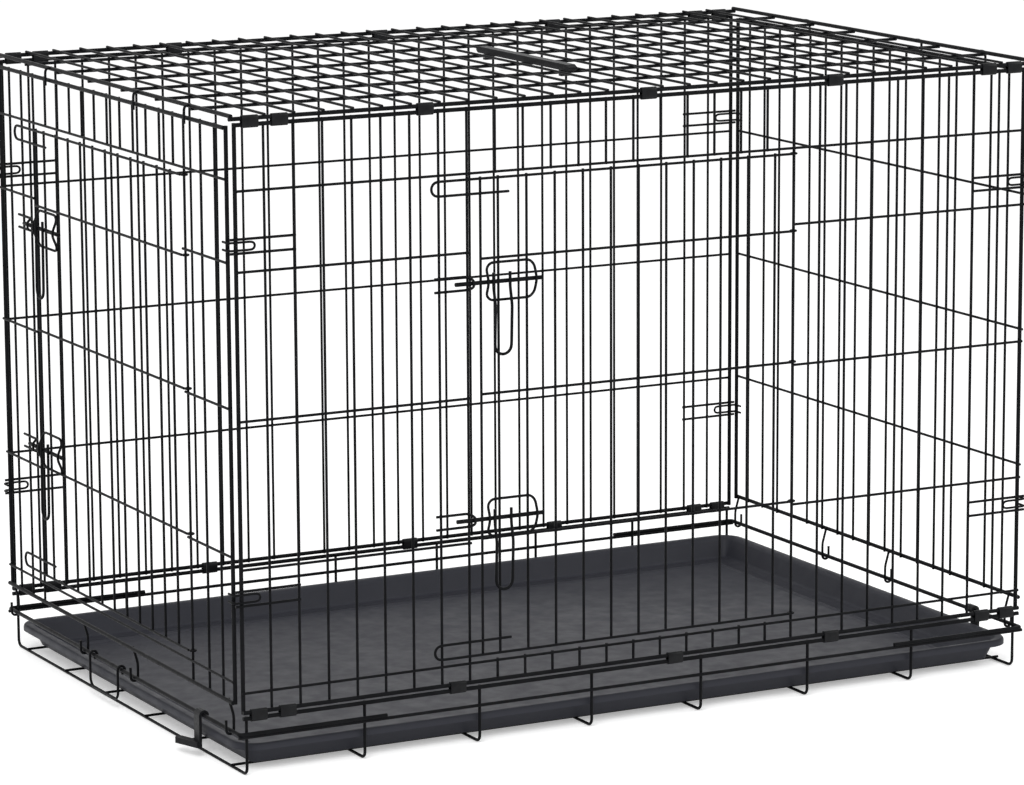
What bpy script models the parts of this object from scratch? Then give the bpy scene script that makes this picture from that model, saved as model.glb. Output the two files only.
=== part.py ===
"""Folding wire dog cage with a front door, an end door and a slide-out floor tray.

The cage stands on z = 0. X runs along its length, -Y is the front and -X the end with the second door.
Every panel is a grille of round wires welded where they cross, so each panel is one solid.
"""
import math

import bmesh
import bpy
from mathutils import Matrix, Vector

for old in list(bpy.data.objects):
    bpy.data.objects.remove(old, do_unlink=True)

# Overall sizes
CORNER_X = 0.527
FRONT_Y = 0.350
END_X = 0.533
END_SIDE_Y = 0.3412
TOP_Z = 0.7589

# Wires
WIRE_R = 0.0016
ROD_R = 0.0025
RIB_R = 0.0020
WELD = 0.0007
THIN_LAP = 2 * WIRE_R - WELD
ROD_LAP = WIRE_R + ROD_R - WELD
RIB_LAP = WIRE_R + RIB_R - WELD
END_STUB = 0.002
ROUND_SIDES = 6
WIRE_SIDES = 4
FIT = 0.0004

# Long panels
PITCH = 0.0364
PITCH_COUNT = 29
TOP_DROP = 0.0104
LONG_TOP_Z = TOP_Z - TOP_DROP
LONG_BOTTOM_Z = 0.0755
FRONT_LEVELS = (0.5825, 0.4123, 0.2415)
DOORWAY_DROP = 0.0745
DOORWAY_TOP_Z = LONG_TOP_Z - DOORWAY_DROP
DOORWAY_SILL_Z = 0.098
BACK_LEVELS = (0.5925, 0.4235, 0.2520)
DOORWAY_LEFT = 8
DOORWAY_RIGHT = 20

# End panels
END_PITCH = 0.0387
END_COUNT = 18
END_DROP = 0.0035
END_TOP_Z = LONG_TOP_Z - END_DROP
END_BOTTOM_Z = 0.086
LEFT_LEVELS = (0.593, 0.4267, 0.256)
RIGHT_LEVELS = (0.5935, 0.425, 0.255)
LEFT_DOORWAY_DROP = 0.058
LEFT_DOORWAY_TOP_Z = END_TOP_Z - LEFT_DOORWAY_DROP
LEFT_SILL_Z = 0.110
LEFT_HINGE_Y = -0.2241
LEFT_LATCH_Y = 0.2322

# Corner hooks and their guide wires on the long panels
GUIDE_LEVELS = ((0.620, 0.604), (0.217, 0.200))
GUIDE_OUT = 0.0085
GUIDE_IN = 2
NOSE_R = 0.0045
NOSE_REACH = 0.0225
HOOK_R = 0.0014
HOOK_TAIL = 0.0145

# Base
RAIL_Z = 0.0685
MID_Z = 0.0465
MID_R = 0.0020
END_RAIL_Z = 0.050
LOOP_R = 0.0018
LOOP_X = 0.5235
LOOP_COUNT = 8
LOOP_BEND = 0.008
FLOOR_WIRES = 6
FLOOR_WIRE_Y = 0.3125
FLOOR_WIRE_X = LOOP_X + 0.004
PIVOT_HOOK_R = 0.0048
PIVOT_HOOK_TIP = 0.012
PIVOT_HOOK_YS = (0.335, 0.107, -0.048, -0.3255)

# Top panel
TOP_RIB_YS = (-0.25, -0.15, -0.05, 0.05, 0.15, 0.25)
TOP_HOOK_YS = (0.17, -0.10, -0.245)
TOP_HOOK_DROP = 0.020

# Clips that join the long panels to the top and the base
CLIP_LENGTH = 0.020
CLIP_WALL = 0.0009
TOP_CLIP_SLOTS = (0.5, 1.5, 6.5, 14.5, 21.5, 27.5, 28.5)
BOTTOM_CLIP_SLOTS = (0.5, 1.5, 7.5, 15.5, 21.5, 27.5, 28.5)

# Doors
DOOR_OUT = 0.0012
FRONT_DOOR_GAP = 0.0067
LEFT_DOOR_GAP = 0.009
EYE_R = 0.0039
EYE_WIRE_R = 0.0013
TONGUE_REACH = 0.064
TONGUE_BACK = 0.036
TONGUE_GAP = 0.017
FRONT_DOOR = {
    "hinge": (DOORWAY_RIGHT - PITCH_COUNT / 2) * PITCH,
    "latch": -0.2201,
    "first": -0.1972,
    "step": 0.0371,
    "count": 11,
    "levels": (DOORWAY_TOP_Z - FRONT_DOOR_GAP, 0.5745, 0.4161, 0.2455, 0.107),
}
LEFT_DOOR = {
    "hinge": LEFT_HINGE_Y,
    "latch": 0.2217,
    "first": 0.1967,
    "step": -0.03837,
    "count": 11,
    "levels": (LEFT_DOORWAY_TOP_Z - LEFT_DOOR_GAP, 0.5855, 0.4305, 0.260, 0.1215),
}

# Bolts: each is a rod with a hanging finger loop, in a bent-wire guide on its door
BOLT_R = 0.0025
BOLT_LENGTH = 0.1123
BOLT_TIP = 0.035
GUIDE_NEAR = 0.0055
GUIDE_FAR = 0.068
GUIDE_HALF = 0.022
CATCH_NEAR = 0.0128
CATCH_FAR = 0.060
CATCH_HALF = 0.0078
FINGER_R = 0.0018
FINGER_NEAR = 0.0125
FINGER_FAR = 0.0340
FINGER_RISE = 0.011
FINGER_DROP = 0.085
FRONT_BOLT_ZS = (0.547, 0.269)
LEFT_BOLT_ZS = (0.559, 0.282)

# Tray
TRAY_X = 0.528
TRAY_Y = 0.3455
TRAY_CORNER = 0.030
TRAY_HEIGHT = 0.0285
TRAY_WALL = 0.0022
TRAY_LIP = 0.012
TRAY_SLOPE = 0.010

# Tray stops and bail
STOP_Y = -0.245
STOP_WIDTH = 0.015
STOP_WALL = 0.0035
STOP_FOOT_Z = 0.0112
STOP_LEVER = 0.034
STOP_LEVER_OUT = 0.018
STOP_LEVER_HEIGHT = 0.007
BAIL_YS = (0.078, -0.008)

# Carry handle
HANDLE_RIBS = (TOP_RIB_YS[1], TOP_RIB_YS[3])
HANDLE_LENGTH = 0.24
HANDLE_WIDTH = 0.012
HANDLE_HEIGHT = 0.008
HANDLE_TOE = 0.0025

X = Vector((1, 0, 0))
Y = Vector((0, 1, 0))
Z = Vector((0, 0, 1))


def collection(name):
    made = bpy.data.collections.new(name)
    bpy.context.scene.collection.children.link(made)
    return made


PARTS = collection("dog_cage")
TOOLS = collection("welded_wires")


def material(name, color, roughness, metallic):
    made = bpy.data.materials.new(name)
    made.use_nodes = True
    shader = made.node_tree.nodes["Principled BSDF"]
    shader.inputs["Base Color"].default_value = (*color, 1)
    shader.inputs["Roughness"].default_value = roughness
    shader.inputs["Metallic"].default_value = metallic
    return made


COATED_WIRE = material("coated_wire", (0.022, 0.023, 0.025), 0.42, 0.0)
CLIP_STEEL = material("clip_steel", (0.030, 0.031, 0.034), 0.34, 0.3)
TRAY_PLASTIC = material("tray_plastic", (0.040, 0.042, 0.046), 0.55, 0.0)
STOP_PLASTIC = material("stop_plastic", (0.020, 0.022, 0.025), 0.50, 0.0)


class Plane:
    """A panel's own frame: u across, v along its height, n outwards."""

    def __init__(self, origin, u, v, n):
        self.origin, self.u, self.v, self.n = Vector(origin), u, v, n

    def at(self, u, v, n=0.0):
        return self.origin + self.u * u + self.v * v + self.n * n


FRONT = Plane((0, -FRONT_Y, 0), X, Z, -Y)
BACK = Plane((0, FRONT_Y, 0), X, Z, Y)
LEFT = Plane((-END_X, 0, 0), Y, Z, -X)
RIGHT = Plane((END_X, 0, 0), Y, Z, X)
TOP = Plane((0, 0, TOP_Z), X, Y, -Z)


def mesh_object(name, mesh, group, finish=None):
    made = bpy.data.objects.new(name, mesh)
    group.objects.link(made)
    if finish:
        mesh.materials.clear()
        mesh.materials.append(finish)
    return made


def bars(name, wires, group):
    """One mesh of straight wires, each given as (start, end, radius)."""
    mesh = bpy.data.meshes.new(name)
    made = bmesh.new()
    for start, end, radius in wires:
        run = end - start
        turn = run.to_track_quat("Z", "Y").to_matrix().to_4x4()
        place = Matrix.Translation((start + end) / 2) @ turn
        sides = ROUND_SIDES if radius > RIB_R else WIRE_SIDES
        bmesh.ops.create_cone(made, cap_ends=True, segments=sides, radius1=radius, radius2=radius,
                              depth=run.length, matrix=place)
    made.to_mesh(mesh)
    made.free()
    return mesh_object(name, mesh, group)


def bent(name, wires, group, sides=WIRE_SIDES):
    """One mesh of bent wires, each given as (points, radius, closed)."""
    curve = bpy.data.curves.new(name, "CURVE")
    curve.dimensions = "3D"
    curve.bevel_depth = 1.0
    curve.bevel_resolution = sides // 2 - 2
    curve.use_fill_caps = True
    for points, radius, closed in wires:
        spline = curve.splines.new("POLY")
        spline.points.add(len(points) - 1)
        for slot, point in zip(spline.points, points):
            slot.co = (*point, 1)
            slot.radius = radius
        spline.use_cyclic_u = closed
    drawn = bpy.data.objects.new(name + "_curve", curve)
    bpy.context.scene.collection.objects.link(drawn)
    bpy.context.view_layer.update()
    shown = drawn.evaluated_get(bpy.context.evaluated_depsgraph_get())
    mesh = bpy.data.meshes.new_from_object(shown)
    bpy.data.objects.remove(drawn, do_unlink=True)
    weld_caps(mesh)
    mesh.name = name
    return mesh_object(name, mesh, group)


def weld_caps(mesh):
    made = bmesh.new()
    made.from_mesh(mesh)
    bmesh.ops.remove_doubles(made, verts=made.verts, dist=1e-6)
    bmesh.ops.recalc_face_normals(made, faces=made.faces)
    made.to_mesh(mesh)
    made.free()


def plate(name, outline, thickness, place, group):
    """A flat outline in its own XY, extruded evenly to both sides and then placed."""
    curve = bpy.data.curves.new(name, "CURVE")
    curve.dimensions = "2D"
    curve.fill_mode = "BOTH"
    curve.extrude = thickness / 2
    for points in outline:
        spline = curve.splines.new("POLY")
        spline.points.add(len(points) - 1)
        for slot, point in zip(spline.points, points):
            slot.co = (*point, 0, 1)
        spline.use_cyclic_u = True
    drawn = bpy.data.objects.new(name + "_curve", curve)
    bpy.context.scene.collection.objects.link(drawn)
    bpy.context.view_layer.update()
    shown = drawn.evaluated_get(bpy.context.evaluated_depsgraph_get())
    mesh = bpy.data.meshes.new_from_object(shown)
    bpy.data.objects.remove(drawn, do_unlink=True)
    mesh.transform(place)
    weld_caps(mesh)
    mesh.name = name
    return mesh_object(name, mesh, group)


def weld(body, *others):
    """Joins the other wires to a body with live Boolean unions."""
    for other in others:
        other.hide_render = True
        other.display_type = "WIRE"
        joint = body.modifiers.new("weld", "BOOLEAN")
        joint.operation = "UNION"
        joint.solver = "EXACT"
        joint.object = other


def finish(body, look, pivot=None):
    body.data.materials.clear()
    body.data.materials.append(look)
    if pivot is not None:
        body.data.transform(Matrix.Translation(-pivot))
        body.location = pivot
    body.data.set_sharp_from_angle(angle=math.radians(35))
    body.data.shade_smooth()
    return body


def arc(centre, first, second, radius, start, stop, steps):
    """Points on an arc in the plane of two unit vectors, angles in degrees."""
    points = []
    for k in range(steps + 1):
        turn = math.radians(start + (stop - start) * k / steps)
        points.append(centre + first * radius * math.cos(turn) + second * radius * math.sin(turn))
    return points


def column(i):
    return (i - PITCH_COUNT / 2) * PITCH


def end_column(k):
    return (k - END_COUNT / 2) * END_PITCH


def corner_hooks(plane):
    """Guide wire pairs at both ends of a long panel, and the hooks that reach round its corners."""
    guides = []
    hooks = []
    for side in (-1, 1):
        for high, low in GUIDE_LEVELS:
            for level in (high, low):
                outer = side * (CORNER_X + GUIDE_OUT)
                inner = side * (-column(GUIDE_IN) - WIRE_R / 2)
                guides.append((plane.at(outer, level, THIN_LAP), plane.at(inner, level, THIN_LAP), WIRE_R))
            middle = (high + low) / 2
            tail_x = side * (END_X + ROD_R + HOOK_R + 1.5 * FIT)
            front = THIN_LAP
            nose = side * (CORNER_X - NOSE_REACH + NOSE_R)
            wrap = [plane.at(tail_x, middle + NOSE_R, front - HOOK_TAIL),
                    plane.at(tail_x, middle + NOSE_R, front - 2 * HOOK_R),
                    plane.at(tail_x - side * 0.0026, middle + NOSE_R, front)]
            round_nose = arc(plane.at(nose, middle, front), Z, plane.u * -side, NOSE_R, 0, 180, 4)
            back = [plane.at(tail_x - side * 0.0026, middle - NOSE_R, front),
                    plane.at(tail_x, middle - NOSE_R, front - 2 * HOOK_R),
                    plane.at(tail_x, middle - NOSE_R, front - HOOK_TAIL)]
            hooks.append((wrap + round_nose + back, HOOK_R, False))
    return guides, hooks


def long_panel(name, plane, levels, doorway):
    """The front or back panel: rod frame, close verticals and a few long horizontals."""
    low, high = LONG_BOTTOM_Z - END_STUB, LONG_TOP_Z + END_STUB
    uprights = [(plane.at(side * CORNER_X, low), plane.at(side * CORNER_X, high), ROD_R) for side in (-1, 1)]
    for i in range(1, PITCH_COUNT):
        u = column(i)
        if doorway and DOORWAY_LEFT < i < DOORWAY_RIGHT:
            uprights.append((plane.at(u, DOORWAY_TOP_Z - END_STUB), plane.at(u, high), WIRE_R))
            uprights.append((plane.at(u, low), plane.at(u, DOORWAY_SILL_Z + END_STUB), WIRE_R))
        else:
            uprights.append((plane.at(u, low), plane.at(u, high), WIRE_R))
    reach = CORNER_X + END_STUB
    across = [(plane.at(-reach, z, ROD_LAP), plane.at(reach, z, ROD_LAP), ROD_R)
              for z in (LONG_BOTTOM_Z, LONG_TOP_Z)]
    spans = [(-reach, reach)]
    if doorway:
        spans = [(-reach, column(DOORWAY_LEFT) + END_STUB), (column(DOORWAY_RIGHT) - END_STUB, reach)]
        for z in (DOORWAY_TOP_Z, DOORWAY_SILL_Z):
            across.append((plane.at(-reach, z, THIN_LAP), plane.at(reach, z, THIN_LAP), WIRE_R))
    for z in levels:
        for start, stop in spans:
            across.append((plane.at(start, z, THIN_LAP), plane.at(stop, z, THIN_LAP), WIRE_R))
    guides, hooks = corner_hooks(plane)
    catches = []
    if doorway:
        catches = [catch(plane, FRONT_DOOR, z) for z in FRONT_BOLT_ZS]
    body = bars(name, uprights, PARTS)
    weld(body, bars(name + "_across", across + guides, TOOLS), bent(name + "_hooks", hooks + catches, TOOLS))
    return finish(body, COATED_WIRE)


def pivot_hook(plane, y):
    """The hook on an end panel's foot that turns round the base's end rail."""
    rail = plane.at(y, END_RAIL_Z)
    points = [plane.at(y, END_BOTTOM_Z + WIRE_R, ROD_LAP / 3), plane.at(y, END_RAIL_Z + 0.017, -PIVOT_HOOK_R)]
    points += arc(rail, plane.n, Z, PIVOT_HOOK_R, 180, 360, 4)
    points.append(plane.at(y, END_RAIL_Z + PIVOT_HOOK_TIP, PIVOT_HOOK_R))
    return points, WIRE_R, False


def end_panel(name, plane, levels, doorway):
    low, high = END_BOTTOM_Z - END_STUB, END_TOP_Z + END_STUB
    uprights = [(plane.at(side * END_SIDE_Y, low), plane.at(side * END_SIDE_Y, high), ROD_R)
                for side in (-1, 1)]
    reach = END_SIDE_Y + END_STUB
    for k in range(1, END_COUNT):
        u = end_column(k)
        if doorway and LEFT_HINGE_Y - END_PITCH / 2 < u < LEFT_HINGE_Y + END_PITCH / 2:
            u = LEFT_HINGE_Y
        if doorway and LEFT_HINGE_Y < u < LEFT_LATCH_Y - END_STUB:
            uprights.append((plane.at(u, LEFT_DOORWAY_TOP_Z - END_STUB), plane.at(u, high), WIRE_R))
        else:
            uprights.append((plane.at(u, low), plane.at(u, high), WIRE_R))
    across = [(plane.at(-reach, z, ROD_LAP), plane.at(reach, z, ROD_LAP), ROD_R)
              for z in (END_BOTTOM_Z, END_TOP_Z)]
    spans = [(-reach, reach)]
    if doorway:
        spans = [(-reach, LEFT_HINGE_Y + END_STUB), (LEFT_LATCH_Y - END_STUB, reach)]
        for z in (LEFT_DOORWAY_TOP_Z, LEFT_SILL_Z):
            across.append((plane.at(-reach, z, THIN_LAP), plane.at(reach, z, THIN_LAP), WIRE_R))
    for z in levels:
        for start, stop in spans:
            across.append((plane.at(start, z, THIN_LAP), plane.at(stop, z, THIN_LAP), WIRE_R))
    details = [pivot_hook(plane, y) for y in PIVOT_HOOK_YS]
    if doorway:
        details += [catch(plane, LEFT_DOOR, z) for z in LEFT_BOLT_ZS]
    body = bars(name, uprights, PARTS)
    weld(body, bars(name + "_across", across, TOOLS), bent(name + "_hooks", details, TOOLS))
    return finish(body, COATED_WIRE, plane.at(0, END_RAIL_Z))


def latch_side(door):
    return 1 if door["latch"] > door["hinge"] else -1


BOLT_N = DOOR_OUT + WIRE_R + BOLT_R + FIT
OVER_BOLT = BOLT_N + BOLT_R + FIT


def catch(plane, door, z):
    """The hairpin on the panel that the bolt's tip slides behind."""
    side = latch_side(door)
    near = door["latch"] + side * CATCH_NEAR
    far = door["latch"] + side * CATCH_FAR
    rest = near + side * 0.006
    nose = OVER_BOLT + WIRE_R
    points = [plane.at(far, z + CATCH_HALF, THIN_LAP), plane.at(rest, z + CATCH_HALF, THIN_LAP),
              plane.at(near + side * 0.001, z + CATCH_HALF * 0.6, nose - 0.0006),
              plane.at(near, z, nose),
              plane.at(near + side * 0.001, z - CATCH_HALF * 0.6, nose - 0.0006),
              plane.at(rest, z - CATCH_HALF, THIN_LAP), plane.at(far, z - CATCH_HALF, THIN_LAP)]
    return points, WIRE_R, False


def bolt_guide(plane, door, z):
    """The closed wire loop on a door, bulged outwards at both sides to let the bolt through."""
    side = latch_side(door)
    face = DOOR_OUT + THIN_LAP
    over = OVER_BOLT + WIRE_R
    near = door["latch"] - side * GUIDE_NEAR
    far = door["latch"] - side * GUIDE_FAR
    points = []
    for u, turn, inset in ((near, 1, side), (far, -1, -side)):
        points += [plane.at(u - inset * 0.006, z - turn * GUIDE_HALF, face),
                   plane.at(u, z - turn * (GUIDE_HALF - 0.006), face + 0.001),
                   plane.at(u, z - turn * 0.003, over),
                   plane.at(u, z + turn * 0.003, over),
                   plane.at(u, z + turn * (GUIDE_HALF - 0.006), face + 0.001),
                   plane.at(u - inset * 0.006, z + turn * GUIDE_HALF, face)]
    return points, WIRE_R, True


def door_panel(name, plane, door, bolt_zs):
    """A door: its own grille, eyes round the hinge wire, tongues over the panel and two bolt guides."""
    side = latch_side(door)
    levels = door["levels"]
    low, high = levels[-1] - END_STUB, levels[0] + END_STUB
    face = DOOR_OUT + THIN_LAP
    uprights = [(plane.at(door["latch"], low, DOOR_OUT), plane.at(door["latch"], high, DOOR_OUT), WIRE_R)]
    for j in range(door["count"]):
        u = door["first"] + j * door["step"]
        uprights.append((plane.at(u, low, DOOR_OUT), plane.at(u, high, DOOR_OUT), WIRE_R))
    at_eye = door["hinge"] + side * 0.0029
    at_latch = door["latch"] + side * END_STUB
    across = [(plane.at(at_latch, z, face), plane.at(at_eye, z, face), WIRE_R) for z in levels[1:-1]]
    eyes = []
    for z in levels:
        ring = arc(plane.at(door["hinge"], z), plane.u * side, plane.n, EYE_R, 30, 330, 5)
        eyes.append((ring, EYE_WIRE_R, True))
    tongues = []
    for z, inward in ((levels[0], -1), (levels[-1], 1)):
        tip = door["latch"] + side * TONGUE_REACH - side * TONGUE_GAP / 2
        inner = z + inward * TONGUE_GAP
        middle = plane.at(tip, (z + inner) / 2, face)
        bend = arc(middle, plane.v * -inward, plane.u * side, TONGUE_GAP / 2, 0, 180, 4)
        end = plane.at(door["latch"] - side * TONGUE_BACK, inner, face)
        tongues.append(([plane.at(at_eye, z, face)] + bend + [end], WIRE_R, False))
    guides = [bolt_guide(plane, door, z) for z in bolt_zs]
    body = bars(name, uprights, PARTS)
    weld(body, bars(name + "_across", across, TOOLS), bent(name + "_tongues", tongues, TOOLS),
         bent(name + "_guides", guides, TOOLS), bent(name + "_eyes", eyes, TOOLS))
    return finish(body, COATED_WIRE, plane.at(door["hinge"], 0))


def bolt(name, plane, door, z):
    """A bolt rod with its finger loop welded across it."""
    side = latch_side(door)
    tip = door["latch"] + side * BOLT_TIP
    tail = tip - side * BOLT_LENGTH
    body = bars(name, [(plane.at(tip, z, BOLT_N), plane.at(tail, z, BOLT_N), BOLT_R)], PARTS)
    near = door["latch"] - side * FINGER_NEAR
    far = door["latch"] - side * FINGER_FAR
    over = BOLT_N + BOLT_R + FINGER_R - WELD
    hang = over + 0.001
    middle = (near + far) / 2 - side * 0.001
    half = abs(near - far) / 2
    foot = z - FINGER_DROP + half
    points = [plane.at(near, z + FINGER_RISE, over), plane.at(near, z - 0.006, over),
              plane.at(near - side * 0.002, z - GUIDE_HALF - 0.006, hang)]
    points += arc(plane.at(middle, foot, hang), plane.u * side, plane.v * -1, half, 0, 180, 5)
    points += [plane.at(far - side * 0.002, z - GUIDE_HALF - 0.006, hang), plane.at(far, z - 0.006, over),
               plane.at(far, z + FINGER_RISE, over)]
    weld(body, bent(name + "_loop", [(points, FINGER_R, False)], TOOLS))
    return finish(body, COATED_WIRE, plane.at(tip, z, BOLT_N))


def top_panel():
    across_y = FRONT_Y + ROD_LAP
    reach = across_y + END_STUB
    ribs = [(TOP.at(side * END_X, -reach), TOP.at(side * END_X, reach), ROD_R) for side in (-1, 1)]
    for i in range(1, PITCH_COUNT):
        ribs.append((TOP.at(column(i), -reach), TOP.at(column(i), reach), WIRE_R))
    length = END_X + END_STUB
    rails = [(TOP.at(-length, side * across_y, ROD_LAP), TOP.at(length, side * across_y, ROD_LAP), ROD_R)
             for side in (-1, 1)]
    rails += [(TOP.at(-length, y, RIB_LAP), TOP.at(length, y, RIB_LAP), RIB_R) for y in TOP_RIB_YS]
    hooks = []
    for side in (-1, 1):
        out = side * (END_X + ROD_LAP + ROD_R + WIRE_R + FIT)
        for y in TOP_HOOK_YS:
            hooks.append(([TOP.at(side * (END_X - 0.001), y, -0.0012), TOP.at(out - side * 0.003, y, -0.0008),
                           TOP.at(out, y, 0.002), TOP.at(out, y, TOP_HOOK_DROP)], WIRE_R, False))
    body = bars("top_panel", ribs, PARTS)
    weld(body, bars("top_rails", rails, TOOLS), bent("top_hooks", hooks, TOOLS))
    return finish(body, COATED_WIRE)


def base_frame():
    """Rods round the base, eight wire loops under the tray and six floor wires across them."""
    outer = FRONT_Y + ROD_LAP
    reach = CORNER_X + END_STUB
    rods = []
    for side in (-1, 1):
        rods.append((Vector((-reach, side * outer, RAIL_Z)), Vector((reach, side * outer, RAIL_Z)), ROD_R))
        y = side * (FRONT_Y + LOOP_R + MID_R - WELD)
        ends = END_X + END_STUB
        rods.append((Vector((-ends, y, MID_Z)), Vector((ends, y, MID_Z)), MID_R))
    floor_z = LOOP_R + LOOP_R + WIRE_R - WELD
    for k in range(FLOOR_WIRES):
        y = FLOOR_WIRE_Y * (2 * k / (FLOOR_WIRES - 1) - 1)
        rods.append((Vector((-FLOOR_WIRE_X, y, floor_z)), Vector((FLOOR_WIRE_X, y, floor_z)), WIRE_R))
    rails = []
    end_reach = outer + END_STUB
    for side in (-1, 1):
        x = side * END_X
        rails.append((Vector((x, -end_reach, END_RAIL_Z)), Vector((x, end_reach, END_RAIL_Z)), ROD_R))
    loops = []
    for k in range(LOOP_COUNT):
        x = LOOP_X * (2 * k / (LOOP_COUNT - 1) - 1)
        low = LOOP_R + LOOP_BEND
        run = FRONT_Y - LOOP_BEND
        points = [Vector((x, -FRONT_Y, RAIL_Z + END_STUB))]
        points += arc(Vector((x, -run, low)), -Y, -Z, LOOP_BEND, 0, 90, 3)
        points += arc(Vector((x, run, low)), -Z, Y, LOOP_BEND, 0, 90, 3)
        points.append(Vector((x, FRONT_Y, RAIL_Z + END_STUB)))
        loops.append((points, LOOP_R, False))
    body = bars("base_frame", rods, PARTS)
    weld(body, bent("base_loops", loops, TOOLS), bars("base_end_rails", rails, TOOLS))
    return finish(body, COATED_WIRE)


def clip(name, slot, y, z):
    """A folded steel clip round two rods that lie one above the other."""
    gap = (TOP_Z - ROD_LAP - LONG_TOP_Z) / 2
    half = ROD_R + FIT
    shoulder = gap + FIT + 0.0005
    apex = gap + ROD_R + 4 * FIT
    wall = CLIP_WALL
    inner = [(half, -shoulder), (half, shoulder), (0, apex), (-half, shoulder), (-half, -shoulder), (0, -apex)]
    wide, tall, top = half + wall, shoulder + FIT, apex + wall + FIT
    outer = [(wide, -tall), (wide, tall), (0, top), (-wide, tall), (-wide, -tall), (0, -top)]
    place = Matrix(((0, 0, 1, column(slot)), (1, 0, 0, y), (0, 1, 0, z), (0, 0, 0, 1)))
    body = plate(name, (outer, inner), CLIP_LENGTH, place, PARTS)
    return finish(body, CLIP_STEEL)


def clips():
    y = FRONT_Y + ROD_LAP
    upper = (LONG_TOP_Z + TOP_Z - ROD_LAP) / 2
    lower = (LONG_BOTTOM_Z + RAIL_Z) / 2
    for side, place in ((-1, "front"), (1, "back")):
        for number, slot in enumerate(TOP_CLIP_SLOTS, 1):
            clip(f"{place}_top_clip_{number}", slot, side * y, upper)
        for number, slot in enumerate(BOTTOM_CLIP_SLOTS, 1):
            clip(f"{place}_bottom_clip_{number}", slot, side * y, lower)


def ring(half_x, half_y, corner, z, steps=3):
    """The corners of a rounded rectangle at one height, in order."""
    points = []
    for quarter, (sx, sy) in enumerate(((1, 1), (-1, 1), (-1, -1), (1, -1))):
        centre = Vector((sx * (half_x - corner), sy * (half_y - corner), z))
        points += arc(centre, X, Y, corner, 90 * quarter, 90 * quarter + 90, steps)
    return points


def tray():
    """A moulded pan: sloped walls, a rolled lip and a flat floor, lofted through rounded rectangles."""
    low = LOOP_R + LOOP_R + WIRE_R - WELD + WIRE_R + 0.0003
    high = low + TRAY_HEIGHT
    wall = TRAY_WALL
    wall_x, wall_y = TRAY_X - TRAY_LIP, TRAY_Y - TRAY_LIP
    foot_x, foot_y = wall_x - TRAY_SLOPE, wall_y - TRAY_SLOPE
    corner = TRAY_CORNER
    sections = [
        ring(foot_x, foot_y, corner - TRAY_LIP - TRAY_SLOPE, low),
        ring(wall_x, wall_y, corner - TRAY_LIP, high - wall - 0.004),
        ring(TRAY_X - wall, TRAY_Y - wall, corner - wall, high - wall),
        ring(TRAY_X - wall, TRAY_Y - wall, corner - wall, high - 0.008),
        ring(TRAY_X, TRAY_Y, corner, high - 0.008),
        ring(TRAY_X, TRAY_Y, corner, high - 0.002),
        ring(TRAY_X - 0.002, TRAY_Y - 0.002, corner - 0.002, high),
        ring(wall_x - wall, wall_y - wall, corner - TRAY_LIP - wall, high - 0.002),
        ring(foot_x - wall, foot_y - wall, corner - TRAY_LIP - TRAY_SLOPE - wall, low + wall),
    ]
    mesh = bpy.data.meshes.new("tray")
    made = bmesh.new()
    loops = [[made.verts.new(point) for point in section] for section in sections]
    for lower, upper in zip(loops, loops[1:]):
        for k in range(len(lower)):
            after = (k + 1) % len(lower)
            made.faces.new((lower[k], lower[after], upper[after], upper[k]))
    made.faces.new(reversed(loops[0]))
    made.faces.new(loops[-1])
    bmesh.ops.recalc_face_normals(made, faces=made.faces)
    made.to_mesh(mesh)
    made.free()
    body = mesh_object("tray", mesh, PARTS)
    return finish(body, TRAY_PLASTIC)


def tray_stop(name, side):
    """A plastic tongue hooked over the base's end rail, with a finger lever at its foot."""
    inner, outer = ROD_R + FIT, ROD_R + FIT + STOP_WALL
    drop = STOP_FOOT_Z - END_RAIL_Z
    hook = []
    for k in range(7):
        turn = math.radians(-20 + 200 * (1 - k / 6))
        hook.append((outer * math.cos(turn), outer * math.sin(turn)))
    inside = []
    for k in range(7):
        turn = math.radians(-20 + 200 * k / 6)
        inside.append((inner * math.cos(turn), inner * math.sin(turn)))
    outline = [(-outer, drop)] + hook + inside + [(-inner, drop)]
    place = Matrix(((-side, 0, 0, side * END_X), (0, 0, 1, STOP_Y), (0, 1, 0, END_RAIL_Z), (0, 0, 0, 1)))
    body = plate(name, (outline,), STOP_WIDTH, place, PARTS)
    lever_low = STOP_FOOT_Z + 0.0007
    start_x = END_X + inner + 0.0006
    lever = [(side * start_x, STOP_Y - STOP_WIDTH / 2 + 0.001),
             (side * (start_x + 0.006), STOP_Y - STOP_WIDTH / 2 + 0.001),
             (side * (start_x + STOP_LEVER_OUT), STOP_Y + STOP_LEVER - 0.006),
             (side * (start_x + STOP_LEVER_OUT - 0.004), STOP_Y + STOP_LEVER),
             (side * (start_x + STOP_LEVER_OUT - 0.010), STOP_Y + STOP_LEVER - 0.004),
             (side * start_x, STOP_Y + STOP_WIDTH / 2 - 0.001)]
    height = Matrix.Translation((0, 0, lever_low + STOP_LEVER_HEIGHT / 2))
    weld(body, plate(name + "_lever", (lever,), STOP_LEVER_HEIGHT, height, TOOLS))
    return finish(body, STOP_PLASTIC, Vector((side * END_X, STOP_Y, END_RAIL_Z)))


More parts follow.
